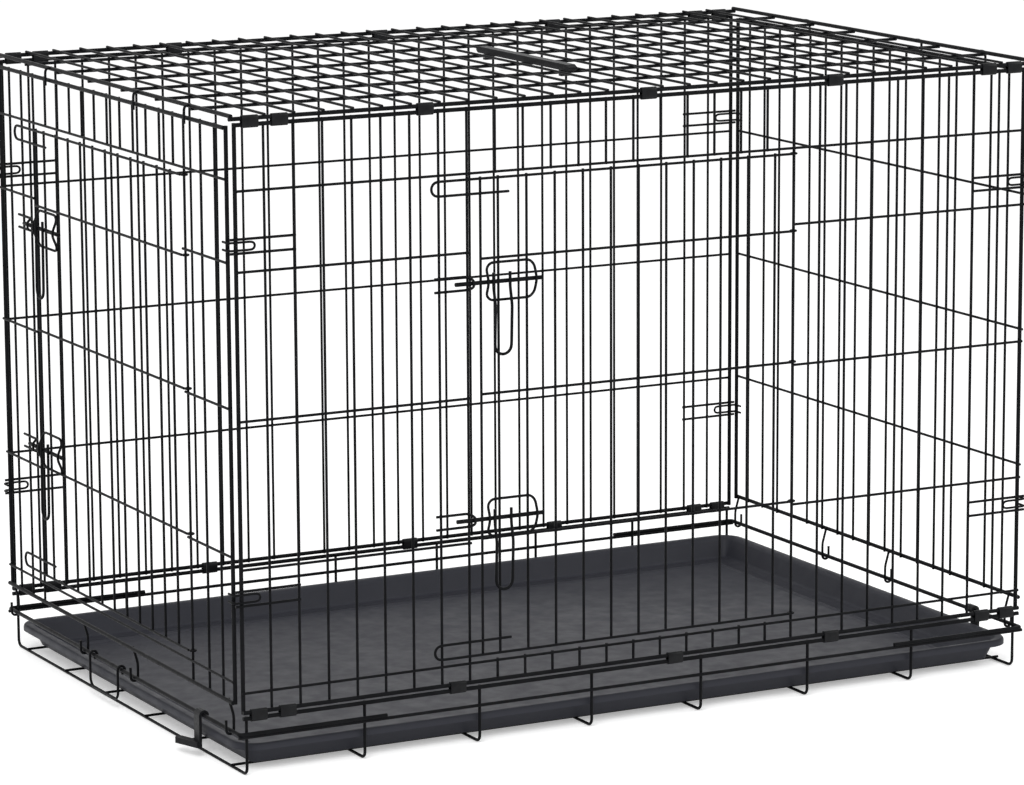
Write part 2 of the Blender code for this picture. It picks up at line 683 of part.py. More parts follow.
def tray_bail():
    """A wire bail that hangs by two eyes from the left end rail, across the tray's end."""
    radius = PIVOT_HOOK_R
    high_y, low_y = BAIL_YS
    foot = STOP_FOOT_Z + WIRE_R
    first = arc(LEFT.at(high_y, END_RAIL_Z), LEFT.n, Z, radius, 270, 0, 6)
    second = arc(LEFT.at(low_y, END_RAIL_Z), LEFT.n, Z, radius, 0, 270, 6)
    points = first + [LEFT.at(high_y, foot + 0.006, radius), LEFT.at(high_y - 0.006, foot, radius),
                      LEFT.at(low_y + 0.006, foot, radius), LEFT.at(low_y, foot + 0.006, radius)] + second
    body = bent("tray_bail", [(points, WIRE_R, False)], PARTS)
    return finish(body, COATED_WIRE, LEFT.at((high_y + low_y) / 2, END_RAIL_Z))


def carry_handle():
    """A flat bar across the top with two toes that hook under two of its ribs."""
    rib_z = TOP_Z - RIB_LAP
    seat = rib_z + RIB_R + 0.0003
    crown = seat + HANDLE_HEIGHT
    half = HANDLE_LENGTH / 2
    middle = (HANDLE_RIBS[0] + HANDLE_RIBS[1]) / 2
    rib = HANDLE_RIBS[1] - middle
    inner = rib - RIB_R - FIT
    toe_low = rib_z - RIB_R - FIT
    right = [(inner - HANDLE_TOE, seat), (inner - HANDLE_TOE, toe_low - HANDLE_TOE),
             (rib + RIB_R, toe_low - HANDLE_TOE), (rib + RIB_R, toe_low), (inner, toe_low), (inner, seat)]
    left = [(-y, z) for y, z in reversed(right)]
    outline = left + right + [(half - 0.004, seat), (half, seat + 0.003), (half, crown - 0.003),
                              (half - 0.006, crown), (-half + 0.006, crown), (-half, crown - 0.003),
                              (-half, seat + 0.003), (-half + 0.004, seat)]
    place = Matrix(((0, 0, 1, 0), (1, 0, 0, middle), (0, 1, 0, 0), (0, 0, 0, 1)))
    body = plate("carry_handle", (outline,), HANDLE_WIDTH, place, PARTS)
    return finish(body, STOP_PLASTIC)


def build():
    base_frame()
    long_panel("front_panel", FRONT, FRONT_LEVELS, True)
    long_panel("back_panel", BACK, BACK_LEVELS, False)
    end_panel("left_end_panel", LEFT, LEFT_LEVELS, True)
    end_panel("right_end_panel", RIGHT, RIGHT_LEVELS, False)
    top_panel()
    clips()
    door_panel("front_door", FRONT, FRONT_DOOR, FRONT_BOLT_ZS)
    door_panel("left_door", LEFT, LEFT_DOOR, LEFT_BOLT_ZS)
    for level, z in zip(("upper", "lower"), FRONT_BOLT_ZS):
        bolt(f"front_{level}_bolt", FRONT, FRONT_DOOR, z)
    for level, z in zip(("upper", "lower"), LEFT_BOLT_ZS):
        bolt(f"left_{level}_bolt", LEFT, LEFT_DOOR, z)
    tray()
    tray_stop("left_tray_stop", -1)
    tray_stop("right_tray_stop", 1)
    tray_bail()
    carry_handle()


build()
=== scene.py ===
"""Looks of the folding wire dog cage: round coated wires, a moulded tray and a white studio.

The frame holds the solids. Every wire is drawn again here, round, on the same centre line.
"""
import math

import bmesh
import bpy
from mathutils import Matrix, Vector


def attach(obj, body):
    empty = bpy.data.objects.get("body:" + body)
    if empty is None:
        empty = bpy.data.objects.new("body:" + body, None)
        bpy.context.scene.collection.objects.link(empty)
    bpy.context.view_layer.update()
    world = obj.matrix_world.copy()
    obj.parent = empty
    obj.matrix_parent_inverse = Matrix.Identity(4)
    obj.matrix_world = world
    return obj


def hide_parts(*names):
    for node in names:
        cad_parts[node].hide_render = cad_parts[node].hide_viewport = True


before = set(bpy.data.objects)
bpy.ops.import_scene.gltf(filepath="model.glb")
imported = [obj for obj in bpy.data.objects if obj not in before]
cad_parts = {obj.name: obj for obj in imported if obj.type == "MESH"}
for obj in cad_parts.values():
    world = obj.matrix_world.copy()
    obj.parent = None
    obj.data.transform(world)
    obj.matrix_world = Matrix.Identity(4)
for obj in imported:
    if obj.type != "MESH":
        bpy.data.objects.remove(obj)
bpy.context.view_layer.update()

# Overall sizes, as in the solids
CORNER_X = 0.527
FRONT_Y = 0.350
END_X = 0.533
END_SIDE_Y = 0.3412
TOP_Z = 0.7589

# Wires
WIRE_R = 0.0016
ROD_R = 0.0025
RIB_R = 0.0020
WELD = 0.0007
THIN_LAP = 2 * WIRE_R - WELD
ROD_LAP = WIRE_R + ROD_R - WELD
RIB_LAP = WIRE_R + RIB_R - WELD
END_STUB = 0.002
FIT = 0.0004
TUBE_RINGS = 3
BEND = 0.0045
BEND_SHARE = 0.45
BEND_STEPS = 4

# Meshes
MERGE = 1e-6
SHARP_ANGLE = math.radians(50)

# Long panels
PITCH = 0.0364
PITCH_COUNT = 29
LONG_TOP_Z = 0.7485
LONG_BOTTOM_Z = 0.0755
FRONT_LEVELS = (0.5825, 0.4123, 0.2415)
DOORWAY_TOP_Z = 0.674
DOORWAY_SILL_Z = 0.098
BACK_LEVELS = (0.5925, 0.4235, 0.2520)
DOORWAY_LEFT = 8
DOORWAY_RIGHT = 20

# End panels
END_PITCH = 0.0387
END_COUNT = 18
END_TOP_Z = 0.745
END_BOTTOM_Z = 0.086
LEFT_LEVELS = (0.593, 0.4267, 0.256)
RIGHT_LEVELS = (0.5935, 0.425, 0.255)
LEFT_DOORWAY_TOP_Z = 0.687
LEFT_SILL_Z = 0.110
LEFT_HINGE_Y = -0.2241
LEFT_LATCH_Y = 0.2322

# Corner hooks and their guide wires
GUIDE_LEVELS = ((0.620, 0.604), (0.217, 0.200))
GUIDE_OUT = 0.0085
GUIDE_IN = 2
NOSE_R = 0.0045
NOSE_REACH = 0.0225
NOSE_STEPS = 4
HOOK_R = 0.0014
HOOK_TAIL = 0.0145
HOOK_BEND = 0.0026
HOOK_X = END_X + ROD_R + HOOK_R + 1.5 * FIT

# Base
RAIL_Z = 0.0685
MID_Z = 0.0465
MID_R = 0.0020
END_RAIL_Z = 0.050
END_LEG_X = 0.347
LOOP_R = 0.0018
LOOP_X = 0.5235
LOOP_COUNT = 8
LOOP_BEND = 0.008
LOOP_STEPS = 5
FLOOR_WIRES = 6
FLOOR_WIRE_Y = 0.3125
FLOOR_WIRE_X = LOOP_X + 0.004
FLOOR_WIRE_Z = 2 * LOOP_R + WIRE_R - WELD
PIVOT_HOOK_R = 0.0048
PIVOT_HOOK_TIP = 0.012
PIVOT_HOOK_NECK = 0.017
PIVOT_HOOK_STEPS = 6
PIVOT_HOOK_YS = (0.335, 0.107, -0.048, -0.3255)

# Top panel
TOP_RIB_YS = (-0.25, -0.15, -0.05, 0.05, 0.15, 0.25)
TOP_HOOK_YS = (0.17, -0.10, -0.245)
TOP_HOOK_DROP = 0.020
TOP_HOOK_X = END_X + ROD_LAP + ROD_R + WIRE_R + FIT
# Each hook's points as (x, depth under the roof's wires)
TOP_HOOK_LINE = ((END_X - 0.001, -0.0012), (TOP_HOOK_X - 0.003, -0.0008), (TOP_HOOK_X, 0.002),
                 (TOP_HOOK_X, TOP_HOOK_DROP))

# Sleeves that join the long panels to the roof and the base
CLIP_LENGTH = 0.020
CLIP_WALL = 0.0009
CLIP_EDGE = 0.0003
CLIP_STEPS = 10
TOP_CLIP_SLOTS = (0.5, 1.5, 6.5, 14.5, 21.5, 27.5, 28.5)
BOTTOM_CLIP_SLOTS = (0.5, 1.5, 7.5, 15.5, 21.5, 27.5, 28.5)

# Doors
DOOR_OUT = 0.0012
EYE_R = 0.0039
EYE_WIRE_R = 0.0013
EYE_START = 0.0029
EYE_ANGLES = (30, 330)
EYE_STEPS = 5
TONGUE_REACH = 0.064
TONGUE_BACK = 0.036
TONGUE_GAP = 0.017
TONGUE_STEPS = 6
FRONT_DOOR = {
    "hinge": (DOORWAY_RIGHT - PITCH_COUNT / 2) * PITCH,
    "latch": -0.2201,
    "first": -0.1972,
    "step": 0.0371,
    "count": 11,
    "levels": (0.6673, 0.5745, 0.4161, 0.2455, 0.107),
}
LEFT_DOOR = {
    "hinge": LEFT_HINGE_Y,
    "latch": 0.2217,
    "first": 0.1967,
    "step": -0.03837,
    "count": 11,
    "levels": (0.678, 0.5855, 0.4305, 0.260, 0.1215),
}

# Bolts
BOLT_R = 0.0025
BOLT_LENGTH = 0.1123
BOLT_TIP = 0.035
GUIDE_NEAR = 0.0055
GUIDE_FAR = 0.068
GUIDE_HALF = 0.022
GUIDE_BEND = 0.006
GUIDE_FLAT = 0.003
GUIDE_LIFT = 0.001
CATCH_NEAR = 0.0128
CATCH_FAR = 0.060
CATCH_HALF = 0.0078
CATCH_BEND = 0.006
CATCH_SHOULDER = 0.001
CATCH_SHOULDER_RISE = 0.6
CATCH_DIP = 0.0006
FINGER_R = 0.0018
FINGER_NEAR = 0.0125
FINGER_FAR = 0.0340
FINGER_RISE = 0.011
FINGER_DROP = 0.085
FINGER_STRAIGHT = 0.006
FINGER_KNEE = GUIDE_HALF + 0.006
FINGER_LEAN = 0.002
FINGER_LIFT = 0.001
FINGER_STEPS = 8
FRONT_BOLT_ZS = (0.547, 0.269)
LEFT_BOLT_ZS = (0.559, 0.282)
BOLT_N = DOOR_OUT + WIRE_R + BOLT_R + FIT
OVER_BOLT = BOLT_N + BOLT_R + FIT

# Tray
TRAY_X = 0.528
TRAY_Y = 0.3455
TRAY_CORNER = 0.030
TRAY_HEIGHT = 0.0285
TRAY_WALL = 0.0022
TRAY_LIP = 0.012
TRAY_SLOPE = 0.010
TRAY_LIFT = 0.0003
TRAY_TIGHTEST = 0.006
BORDER_IN = 0.030
BORDER_RISE = 0.0014
CORNER_STEPS = 12
# The pan's section, from its foot outside to its floor inside. Each point is (inwards, upwards), but in
# the two necks it is (outwards, downwards)
FOOT_CURVE = ((0.003, 0.0), (0.0008, 0.0008), (0.0, 0.003))
OUTER_NECK = ((0.0, 0.004), (0.0012, 0.0012))
RIM_CURVE = ((TRAY_WALL, -TRAY_WALL), (TRAY_WALL, -0.008), (0.0, -0.008), (0.0, -0.0035),
             (0.0006, -0.0014), (0.0018, -0.0002), (0.0034, 0.0), (0.0080, -0.0004))
INNER_NECK = ((0.0005, 0.0022), (-0.0008, 0.005))
FLOOR_CURVE = ((0.0, 0.003), (0.0010, 0.0008), (0.003, 0.0))
BORDER_CURVE = ((0.0, 0.0), (0.0012, BORDER_RISE), (0.0038, BORDER_RISE), (0.0050, 0.0))

# Bail on the left end rail
BAIL_FOOT_Z = 0.0112
BAIL_YS = (0.078, -0.008)
BAIL_BEND = 0.006
BAIL_STEPS = 8

# Noise values between which a tint or a roughness runs from one end to the other
NOISE_LOW = 0.3
NOISE_HIGH = 0.7

# Studio and camera
FLOOR_SIZE = 30
FLOOR_DROP = 0.0002
PAPER_WHITE = 0.90
PAPER_ROUGHNESS = 0.9
PAPER_GLOW = 0.36
WORLD_LIGHT = 0.72
WORLD_SHOWN = 1.0
# Each lamp as its name, place, size and power
LAMPS = (("key", (-2.2, -2.6, 3.2), 2.2, 95), ("fill", (2.8, -1.8, 2.4), 2.6, 35))
LAMP_AIM = Vector((0, 0, 0.35))
CAMERA_PLACE = Vector((-2.5738, -4.8932, 1.3931))
CAMERA_HEADING = math.radians(-27.79)
CAMERA_TILT = math.radians(90 - 10.797)
CAMERA_ROLL = math.radians(-0.287)
CAMERA_LENS = 158.57
CAMERA_SENSOR = 36
CAMERA_REACH = 200

X = Vector((1, 0, 0))
Y = Vector((0, 1, 0))
Z = Vector((0, 0, 1))


class Plane:
    """A panel's own frame: u across, v along its height, n outwards."""

    def __init__(self, origin, u, v, n):
        self.origin, self.u, self.v, self.n = Vector(origin), u, v, n

    def at(self, u, v, n=0.0):
        return self.origin + self.u * u + self.v * v + self.n * n


FRONT = Plane((0, -FRONT_Y, 0), X, Z, -Y)
BACK = Plane((0, FRONT_Y, 0), X, Z, Y)
LEFT = Plane((-END_X, 0, 0), Y, Z, -X)
RIGHT = Plane((END_X, 0, 0), Y, Z, X)
TOP = Plane((0, 0, TOP_Z), X, Y, -Z)


class Surface:
    """A Principled material with its texture nodes on object coordinates."""

    def __init__(self, name, color, roughness, gloss):
        self.material = bpy.data.materials.new(name)
        self.material.use_nodes = True
        self.nodes = self.material.node_tree.nodes
        self.links = self.material.node_tree.links
        self.shader = self.nodes["Principled BSDF"]
        self.shader.inputs["Base Color"].default_value = (*color, 1)
        self.shader.inputs["Roughness"].default_value = roughness
        self.shader.inputs["Specular IOR Level"].default_value = gloss
        self.place = self.nodes.new("ShaderNodeTexCoord").outputs["Object"]

    def noise(self, scale, detail=2.0, roughness=0.5):
        node = self.nodes.new("ShaderNodeTexNoise")
        node.inputs["Scale"].default_value = scale
        node.inputs["Detail"].default_value = detail
        node.inputs["Roughness"].default_value = roughness
        self.links.new(self.place, node.inputs["Vector"])
        return node.outputs["Fac"]

    def cells(self, scale):
        node = self.nodes.new("ShaderNodeTexVoronoi")
        node.feature = "SMOOTH_F1"
        node.inputs["Scale"].default_value = scale
        self.links.new(self.place, node.inputs["Vector"])
        return node.outputs["Distance"]

    def spread(self, value, low, high):
        node = self.nodes.new("ShaderNodeMapRange")
        node.inputs["From Min"].default_value = NOISE_LOW
        node.inputs["From Max"].default_value = NOISE_HIGH
        node.inputs["To Min"].default_value = low
        node.inputs["To Max"].default_value = high
        self.links.new(value, node.inputs["Value"])
        return node.outputs["Result"]

    def tint(self, value, dark, light):
        node = self.nodes.new("ShaderNodeValToRGB")
        node.color_ramp.elements[0].position = NOISE_LOW
        node.color_ramp.elements[0].color = (*dark, 1)
        node.color_ramp.elements[1].position = NOISE_HIGH
        node.color_ramp.elements[1].color = (*light, 1)
        self.links.new(value, node.inputs["Fac"])
        self.links.new(node.outputs["Color"], self.shader.inputs["Base Color"])

    def rough(self, value, low, high):
        self.links.new(self.spread(value, low, high), self.shader.inputs["Roughness"])

    def bump(self, heights):
        """Stacks bumps, each given as (height, strength, distance)."""
        last = None
        for height, strength, distance in heights:
            node = self.nodes.new("ShaderNodeBump")
            node.inputs["Strength"].default_value = strength
            node.inputs["Distance"].default_value = distance
            self.links.new(height, node.inputs["Height"])
            if last is not None:
                self.links.new(last, node.inputs["Normal"])
            last = node.outputs["Normal"]
        self.links.new(last, self.shader.inputs["Normal"])


def coated_wire():
    """Black baked coating with the shallow dimples of a hammered finish and slightly paler patches."""
    made = Surface("hammered_black_coating", (0.004, 0.0043, 0.005), 0.40, 0.05)
    made.tint(made.noise(28, 3), (0.0028, 0.0030, 0.0036), (0.0065, 0.0068, 0.0078))
    made.rough(made.noise(160, 3), 0.33, 0.48)
    made.bump([(made.cells(330), 0.30, 0.0003), (made.noise(1100, 2), 0.14, 0.0002)])
    return made.material


def clip_steel():
    """Pressed strip, satin black with faint drawing marks."""
    made = Surface("pressed_black_steel", (0.005, 0.0053, 0.006), 0.40, 0.12)
    made.tint(made.noise(120, 4), (0.0035, 0.0037, 0.0043), (0.008, 0.0084, 0.0095))
    made.rough(made.noise(420, 3), 0.28, 0.46)
    made.bump([(made.noise(900, 3), 0.18, 0.0002)])
    return made.material


def tray_plastic():
    """Black polystyrene sheet with a fine leathery grain, a faint blue cast and a slightly uneven sheen."""
    made = Surface("grained_black_sheet", (0.0302, 0.0313, 0.0391), 0.50, 0.12)
    made.tint(made.noise(6, 4), (0.0285, 0.0296, 0.0372), (0.0320, 0.0330, 0.0410))
    made.rough(made.noise(45, 4), 0.38, 0.54)
    made.bump([(made.cells(620), 0.35, 0.0002)])
    return made.material


def stop_plastic():
    """Injection-moulded black plastic with a fine spark-eroded texture."""
    made = Surface("moulded_black_plastic", (0.006, 0.0063, 0.007), 0.44, 0.12)
    made.tint(made.noise(60, 3), (0.0045, 0.0047, 0.0055), (0.0085, 0.0088, 0.010))
    made.rough(made.noise(300, 3), 0.34, 0.52)
    made.bump([(made.noise(1800, 2), 0.25, 0.0002)])
    return made.material


WIRE_LOOK = coated_wire()
CLIP_LOOK = clip_steel()
TRAY_LOOK = tray_plastic()
STOP_LOOK = stop_plastic()


def eased(points, closed):
    """Rounds each corner of a wire's centre line, as a bending tool leaves it."""
    count = len(points)
    line = []
    for k, point in enumerate(points):
        if not closed and k in (0, count - 1):
            line.append(point)
            continue
        before = points[k - 1] - point
        after = points[(k + 1) % count] - point
        start = point + before * min(BEND / before.length, BEND_SHARE)
        stop = point + after * min(BEND / after.length, BEND_SHARE)
        for step in range(BEND_STEPS + 1):
            t = step / BEND_STEPS
            line.append(start * (1 - t) ** 2 + point * 2 * t * (1 - t) + stop * t ** 2)
    return line


def wire_mesh(name, wires):
    """One mesh of round wires, each given as (points, radius, closed)."""
    curve = bpy.data.curves.new(name, "CURVE")
    curve.dimensions = "3D"
    curve.bevel_depth = 1.0
    curve.bevel_resolution = TUBE_RINGS
    curve.use_fill_caps = True
    for points, radius, closed in wires:
        line = eased(points, closed)
        spline = curve.splines.new("POLY")
        spline.points.add(len(line) - 1)
        for slot, point in zip(spline.points, line):
            slot.co = (*point, 1)
            slot.radius = radius
        spline.use_cyclic_u = closed
    return mesh_of(curve)


def finished(mesh, made):
    """Writes the faces to the mesh, turned outwards and smooth except at real edges."""
    bmesh.ops.recalc_face_normals(made, faces=made.faces)
    made.to_mesh(mesh)
    made.free()
    mesh.set_sharp_from_angle(angle=SHARP_ANGLE)
    mesh.shade_smooth()
    return mesh


def mesh_of(curve, place=None):
    """The curve as a mesh with its end caps welded on, moved to its place."""
    drawn = bpy.data.objects.new(curve.name + "_curve", curve)
    bpy.context.scene.collection.objects.link(drawn)
    bpy.context.view_layer.update()
    shown = drawn.evaluated_get(bpy.context.evaluated_depsgraph_get())
    mesh = bpy.data.meshes.new_from_object(shown)
    bpy.data.objects.remove(drawn, do_unlink=True)
    if place is not None:
        mesh.transform(place)
    made = bmesh.new()
    made.from_mesh(mesh)
    bmesh.ops.remove_doubles(made, verts=made.verts, dist=MERGE)
    return finished(mesh, made)


def piece(name, mesh, look, body, slot, *nodes):
    """A visible piece that rides on a body in place of its nodes."""
    made = bpy.data.objects.new(name, mesh)
    bpy.context.scene.collection.objects.link(made)
    mesh.materials.clear()
    mesh.materials.append(look)
    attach(made, body)
    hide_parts(*nodes)


def wires_piece(node, wires, body):
    piece(node + "_wires", wire_mesh(node + "_wires", wires), WIRE_LOOK, body, "coated_wire", node)


def upright(plane, u, low, high, radius=WIRE_R, n=0.0):
    """A straight wire along a plane's height."""
    return [plane.at(u, low, n), plane.at(u, high, n)], radius, False


def crosswise(plane, v, start, stop, n, radius=WIRE_R):
    """A straight wire across a plane."""
    return [plane.at(start, v, n), plane.at(stop, v, n)], radius, False


def lengthwise(y, z, reach, radius):
    """A straight wire of the base along the cage's length."""
    return [Vector((-reach, y, z)), Vector((reach, y, z))], radius, False


def arc(centre, first, second, radius, start, stop, steps):
    """Points on an arc in the plane of two unit vectors, angles in degrees."""
    points = []
    for k in range(steps + 1):
        turn = math.radians(start + (stop - start) * k / steps)
        points.append(centre + first * radius * math.cos(turn) + second * radius * math.sin(turn))
    return points


def column(i):
    return (i - PITCH_COUNT / 2) * PITCH


def end_column(k):
    return (k - END_COUNT / 2) * END_PITCH


def latch_side(door):
    return 1 if door["latch"] > door["hinge"] else -1


def catch(plane, door, z):
    """The hairpin on the panel that the bolt's tip slides behind."""
    side = latch_side(door)
    near = door["latch"] + side * CATCH_NEAR
    far = door["latch"] + side * CATCH_FAR
    rest = near + side * CATCH_BEND
    shoulder = near + side * CATCH_SHOULDER
    nose = OVER_BOLT + WIRE_R
    rise = CATCH_SHOULDER_RISE
    line = ((far, 1, THIN_LAP), (rest, 1, THIN_LAP), (shoulder, rise, nose - CATCH_DIP), (near, 0, nose),
            (shoulder, -rise, nose - CATCH_DIP), (rest, -1, THIN_LAP), (far, -1, THIN_LAP))
    return [plane.at(u, z + CATCH_HALF * share, n) for u, share, n in line], WIRE_R, False


def corner_hooks(plane):
    """Guide wire pairs at both ends of a long panel, and the hooks that reach round its corners."""
    wires = []
    for side in (-1, 1):
        outer = side * (CORNER_X + GUIDE_OUT)
        inner = side * (-column(GUIDE_IN) - WIRE_R / 2)
        tail = ((side * HOOK_X, THIN_LAP - HOOK_TAIL), (side * HOOK_X, THIN_LAP - 2 * HOOK_R),
                (side * (HOOK_X - HOOK_BEND), THIN_LAP))
        nose = side * (CORNER_X - NOSE_REACH + NOSE_R)
        for high, low in GUIDE_LEVELS:
            wires += [crosswise(plane, z, outer, inner, THIN_LAP) for z in (high, low)]
            middle = (high + low) / 2
            wrap = [plane.at(u, middle + NOSE_R, n) for u, n in tail]
            back = [plane.at(u, middle - NOSE_R, n) for u, n in reversed(tail)]
            centre = plane.at(nose, middle, THIN_LAP)
            round_nose = arc(centre, Z, plane.u * -side, NOSE_R, 0, 180, NOSE_STEPS)
            wires.append((wrap + round_nose + back, HOOK_R, False))
    return wires


def long_panel(node, plane, levels, doorway):
    """The front or back panel: rod frame, close verticals and a few long horizontals."""
    low, high = LONG_BOTTOM_Z - END_STUB, LONG_TOP_Z + END_STUB
    reach = CORNER_X + END_STUB
    wires = [upright(plane, side * CORNER_X, low, high, ROD_R) for side in (-1, 1)]
    for i in range(1, PITCH_COUNT):
        if doorway and DOORWAY_LEFT < i < DOORWAY_RIGHT:
            wires.append(upright(plane, column(i), DOORWAY_TOP_Z - END_STUB, high))
            wires.append(upright(plane, column(i), low, DOORWAY_SILL_Z + END_STUB))
        else:
            wires.append(upright(plane, column(i), low, high))
    wires += [crosswise(plane, z, -reach, reach, ROD_LAP, ROD_R) for z in (LONG_BOTTOM_Z, LONG_TOP_Z)]
    spans = [(-reach, reach)]
    if doorway:
        spans = [(-reach, column(DOORWAY_LEFT) + END_STUB), (column(DOORWAY_RIGHT) - END_STUB, reach)]
        wires += [crosswise(plane, z, -reach, reach, THIN_LAP) for z in (DOORWAY_TOP_Z, DOORWAY_SILL_Z)]
        wires += [catch(plane, FRONT_DOOR, z) for z in FRONT_BOLT_ZS]
    wires += [crosswise(plane, z, *span, THIN_LAP) for z in levels for span in spans]
    wires_piece(node, wires + corner_hooks(plane), "cage")


def pivot_hook(plane, y):
    """The hook on an end panel's foot that turns round the base's end rail."""
    rail = plane.at(y, END_RAIL_Z)
    points = [plane.at(y, END_BOTTOM_Z + WIRE_R, ROD_LAP / 3),
              plane.at(y, END_RAIL_Z + PIVOT_HOOK_NECK, -PIVOT_HOOK_R)]
    points += arc(rail, plane.n, Z, PIVOT_HOOK_R, 180, 360, PIVOT_HOOK_STEPS)
    points.append(plane.at(y, END_RAIL_Z + PIVOT_HOOK_TIP, PIVOT_HOOK_R))
    return points, WIRE_R, False


def end_panel(node, plane, levels, doorway, body):
    """An end panel on its pivot hooks. The vertical nearest a doorway's hinge becomes the hinge wire."""
    low, high = END_BOTTOM_Z - END_STUB, END_TOP_Z + END_STUB
    reach = END_SIDE_Y + END_STUB
    wires = [upright(plane, side * END_SIDE_Y, low, high, ROD_R) for side in (-1, 1)]
    for k in range(1, END_COUNT):
        u = end_column(k)
        if doorway and abs(u - LEFT_HINGE_Y) < END_PITCH / 2:
            u = LEFT_HINGE_Y
        over_door = doorway and LEFT_HINGE_Y < u < LEFT_LATCH_Y - END_STUB
        wires.append(upright(plane, u, LEFT_DOORWAY_TOP_Z - END_STUB if over_door else low, high))
    wires += [crosswise(plane, z, -reach, reach, ROD_LAP, ROD_R) for z in (END_BOTTOM_Z, END_TOP_Z)]
    spans = [(-reach, reach)]
    if doorway:
        spans = [(-reach, LEFT_HINGE_Y + END_STUB), (LEFT_LATCH_Y - END_STUB, reach)]
        wires += [crosswise(plane, z, -reach, reach, THIN_LAP) for z in (LEFT_DOORWAY_TOP_Z, LEFT_SILL_Z)]
        wires += [catch(plane, LEFT_DOOR, z) for z in LEFT_BOLT_ZS]
    wires += [crosswise(plane, z, *span, THIN_LAP) for z in levels for span in spans]
    wires += [pivot_hook(plane, y) for y in PIVOT_HOOK_YS]
    wires_piece(node, wires, body)


def bolt_guide(plane, door, z):
    """The closed wire loop on a door, bulged outwards at both sides to let the bolt through."""
    side = latch_side(door)
    face = DOOR_OUT + THIN_LAP
    over = OVER_BOLT + WIRE_R
    near = door["latch"] - side * GUIDE_NEAR
    far = door["latch"] - side * GUIDE_FAR
    points = []
    for u, turn, corner in ((near, 1, near - side * GUIDE_BEND), (far, -1, far + side * GUIDE_BEND)):
        line = ((corner, -GUIDE_HALF, face), (u, GUIDE_BEND - GUIDE_HALF, face + GUIDE_LIFT),
                (u, -GUIDE_FLAT, over), (u, GUIDE_FLAT, over),
                (u, GUIDE_HALF - GUIDE_BEND, face + GUIDE_LIFT), (corner, GUIDE_HALF, face))
        points += [plane.at(across, z + turn * rise, n) for across, rise, n in line]
    return points, WIRE_R, True


def door_panel(node, plane, door, bolt_zs, body):
    """A door: its own grille, eyes round the hinge wire, tongues over the panel and two bolt guides."""
    side = latch_side(door)
    levels = door["levels"]
    low, high = levels[-1] - END_STUB, levels[0] + END_STUB
    face = DOOR_OUT + THIN_LAP
    columns = [door["latch"]] + [door["first"] + j * door["step"] for j in range(door["count"])]
    at_eye = door["hinge"] + side * EYE_START
    at_latch = door["latch"] + side * END_STUB
    wires = [upright(plane, u, low, high, n=DOOR_OUT) for u in columns]
    wires += [crosswise(plane, z, at_latch, at_eye, face) for z in levels[1:-1]]
    for z in levels:
        eye = arc(plane.at(door["hinge"], z), plane.u * side, plane.n, EYE_R, *EYE_ANGLES, EYE_STEPS)
        wires.append((eye, EYE_WIRE_R, True))
    for z, inward in ((levels[0], -1), (levels[-1], 1)):
        tip = door["latch"] + side * (TONGUE_REACH - TONGUE_GAP / 2)
        inner = z + inward * TONGUE_GAP
        middle = plane.at(tip, (z + inner) / 2, face)
        bend = arc(middle, plane.v * -inward, plane.u * side, TONGUE_GAP / 2, 0, 180, TONGUE_STEPS)
        end = plane.at(door["latch"] - side * TONGUE_BACK, inner, face)
        wires.append(([plane.at(at_eye, z, face)] + bend + [end], WIRE_R, False))
    wires += [bolt_guide(plane, door, z) for z in bolt_zs]
    wires_piece(node, wires, body)


def bolt(node, plane, door, z, body):
    """A bolt rod with its finger loop welded across it."""
    side = latch_side(door)
    tip = door["latch"] + side * BOLT_TIP
    near = door["latch"] - side * FINGER_NEAR
    far = door["latch"] - side * FINGER_FAR
    lean = side * FINGER_LEAN
    over = BOLT_N + BOLT_R + FINGER_R - WELD
    hang = over + FINGER_LIFT
    half = abs(near - far) / 2
    middle = plane.at((near + far - lean) / 2, z - FINGER_DROP + half, hang)
    loop = [plane.at(near, z + FINGER_RISE, over), plane.at(near, z - FINGER_STRAIGHT, over),
            plane.at(near - lean, z - FINGER_KNEE, hang)]
    loop += arc(middle, plane.u * side, plane.v * -1, half, 0, 180, FINGER_STEPS)
    loop += [plane.at(far - lean, z - FINGER_KNEE, hang), plane.at(far, z - FINGER_STRAIGHT, over),
             plane.at(far, z + FINGER_RISE, over)]
    rod = crosswise(plane, z, tip, tip - side * BOLT_LENGTH, BOLT_N, BOLT_R)
    wires_piece(node, [rod, (loop, FINGER_R, False)], body)


def top_panel():
    """The roof grille, with hooks at both ends that hold the end panels' tops."""
    across_y = FRONT_Y + ROD_LAP
    reach = across_y + END_STUB
    length = END_X + END_STUB
    wires = [upright(TOP, side * END_X, -reach, reach, ROD_R) for side in (-1, 1)]
    wires += [upright(TOP, column(i), -reach, reach) for i in range(1, PITCH_COUNT)]
    wires += [crosswise(TOP, side * across_y, -length, length, ROD_LAP, ROD_R) for side in (-1, 1)]
    wires += [crosswise(TOP, y, -length, length, RIB_LAP, RIB_R) for y in TOP_RIB_YS]
    for side in (-1, 1):
        for y in TOP_HOOK_YS:
            wires.append(([TOP.at(side * x, y, depth) for x, depth in TOP_HOOK_LINE], WIRE_R, False))
    wires_piece("top_panel", wires, "cage")


